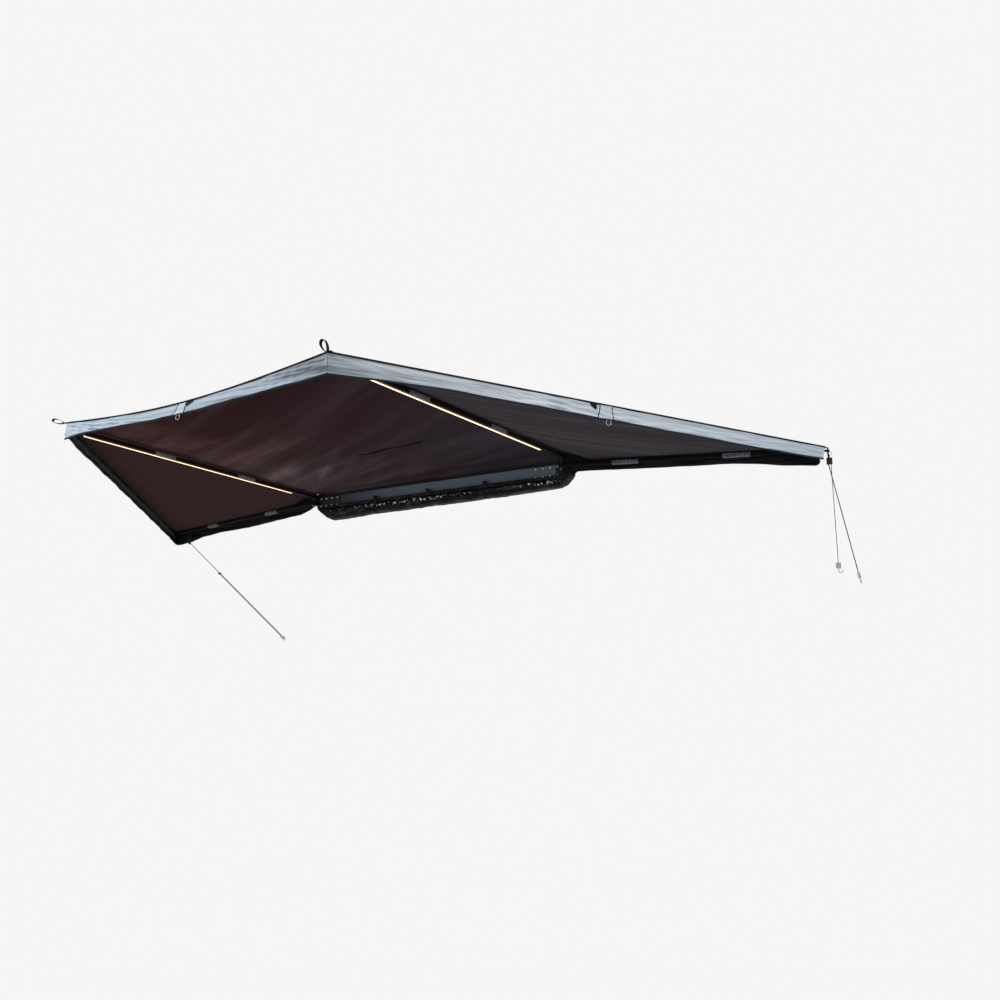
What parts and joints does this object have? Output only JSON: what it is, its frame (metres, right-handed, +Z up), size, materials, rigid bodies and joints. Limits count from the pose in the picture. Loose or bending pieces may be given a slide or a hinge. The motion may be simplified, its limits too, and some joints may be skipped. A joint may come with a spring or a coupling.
{
  "type": "vehicle side awning",
  "caption": "Fan-shaped vehicle side awning with hinged arms on a backboard, a panelled canopy, hanging valances, light strips, guy ropes and a travel bag.",
  "frame": {"origin": "middle of the backboard's back face, the face that meets the roof rack brackets", "axes": "+X runs forward along the backboard, -Y points away from the vehicle, +Z is up"},
  "size_m": [6.2582, 2.9457, 1.2472],
  "materials": {
    "slate_coat": "satin dark slate anodised",
    "black_coat": "satin black anodised",
    "bright_steel": "plated",
    "moulding": "fine grained black",
    "tan_moulding": "fine grained tan",
    "light_lens": "frosted, lit warm white",
    "wrap_cloth": "woven grey purple webbing",
    "bag_cloth": "coated, glossy black",
    "black_webbing": "woven black webbing",
    "dark_canvas": "coated canvas, dark inner face",
    "grey_canvas": "coated canvas, light grey face",
    "dark_rope": "braided dark grey cord",
    "pale_rope": "braided light grey cord"
  },
  "bodies": {
    "board_body": {"backboard": "slate_coat", "canopy_track": "slate_coat", "rear_hub_bracket": "slate_coat", "front_hub_bracket": "slate_coat", "rear_board_cap": "moulding", "front_board_cap": "moulding", "rear_pivot_bolt": "bright_steel", "front_pivot_bolt": "bright_steel", "guy_ring_middle": "bright_steel", "guy_ring_front": "bright_steel", "rear_rack_bracket": "black_coat", "front_rack_bracket": "black_coat", "bag_zip": "black_coat", "travel_bag": "bag_cloth", "bag_strap_1": "black_webbing", "bag_strap_2": "black_webbing", "bag_strap_3": "black_webbing", "canopy_rear": "dark_canvas", "canopy_middle": "dark_canvas", "canopy_front": "dark_canvas", "valance_rear": "grey_canvas", "valance_middle": "grey_canvas", "valance_front": "grey_canvas"},
    "rear_mid_swing": {"rear_mid_knuckle": "black_coat", "rear_mid_arm": "black_coat", "rear_mid_inner_wrap": "wrap_cloth", "rear_mid_outer_wrap": "wrap_cloth", "rear_mid_tip_cap": "tan_moulding", "rear_mid_led_channel": "black_coat", "rear_mid_led_diffuser": "light_lens", "rear_tie_loop": "black_webbing"},
    "front_mid_swing": {"front_mid_knuckle": "black_coat", "front_mid_arm": "black_coat", "front_mid_inner_wrap": "wrap_cloth", "front_mid_outer_wrap": "wrap_cloth", "front_mid_tip_cap": "moulding", "front_mid_led_channel": "black_coat", "front_mid_led_diffuser": "light_lens", "front_tie_loop": "black_webbing"},
    "rear_wing_swing": {"rear_wing_knuckle": "black_coat", "rear_wing_arm": "black_coat", "rear_wing_inner_wrap": "wrap_cloth", "rear_wing_outer_wrap": "wrap_cloth", "rear_wing_tip_cap": "moulding", "rear_guy_clip": "moulding", "rear_guy_rope": "dark_rope", "rear_guy_strand": "dark_rope", "rear_guy_slider": "moulding", "rear_guy_hook": "bright_steel"},
    "front_wing_swing": {"front_wing_knuckle": "black_coat", "front_wing_arm": "black_coat", "front_wing_inner_wrap": "wrap_cloth", "front_wing_outer_wrap": "wrap_cloth", "front_wing_tip_cap": "moulding", "front_guy_ring": "bright_steel", "front_guy_tensioner": "moulding", "front_guy_rope": "dark_rope", "front_guy_strand": "pale_rope", "front_guy_rope_hook": "bright_steel", "front_guy_strand_hook": "bright_steel"}
  },
  "joints": [
    {"name": "rear_mid_fold", "type": "hinge", "parent": "board_body", "child": "rear_mid_swing", "pos_m": [-1.142, -0.06, 0], "axis": [0, 0, 1], "range_deg": [0, 83.2], "deforming": ["canopy_rear", "canopy_middle", "canopy_front", "valance_rear", "valance_middle", "valance_front", "rear_guy_rope", "rear_guy_strand", "front_guy_rope", "front_guy_strand", "guy_ring_middle", "guy_ring_front", "rear_tie_loop", "front_tie_loop"]},
    {"name": "rear_wing_fold", "type": "hinge", "parent": "board_body", "child": "rear_wing_swing", "pos_m": [-1.142, -0.06, 0], "axis": [0, 0, 1], "range_deg": [0, 188.3], "deforming": ["canopy_rear", "canopy_middle", "canopy_front", "valance_rear", "valance_middle", "valance_front", "rear_guy_rope", "rear_guy_strand", "front_guy_rope", "front_guy_strand", "guy_ring_middle", "guy_ring_front", "rear_tie_loop", "front_tie_loop"]},
    {"name": "front_mid_fold", "type": "hinge", "parent": "board_body", "child": "front_mid_swing", "pos_m": [1.142, -0.06, 0], "axis": [0, 0, 1], "range_deg": [-90.9, 0], "deforming": ["canopy_rear", "canopy_middle", "canopy_front", "valance_rear", "valance_middle", "valance_front", "rear_guy_rope", "rear_guy_strand", "front_guy_rope", "front_guy_strand", "guy_ring_middle", "guy_ring_front", "rear_tie_loop", "front_tie_loop"]},
    {"name": "front_wing_fold", "type": "hinge", "parent": "board_body", "child": "front_wing_swing", "pos_m": [1.142, -0.06, 0], "axis": [0, 0, 1], "range_deg": [-195.1, 0], "deforming": ["canopy_rear", "canopy_middle", "canopy_front", "valance_rear", "valance_middle", "valance_front", "rear_guy_rope", "rear_guy_strand", "front_guy_rope", "front_guy_strand", "guy_ring_middle", "guy_ring_front", "rear_tie_loop", "front_tie_loop"]}
  ],
  "couplings": [
    {"joint": "rear_wing_fold", "follows": "rear_mid_fold", "ratio": 2.2632},
    {"joint": "front_wing_fold", "follows": "front_mid_fold", "ratio": 2.1463}
  ]
}
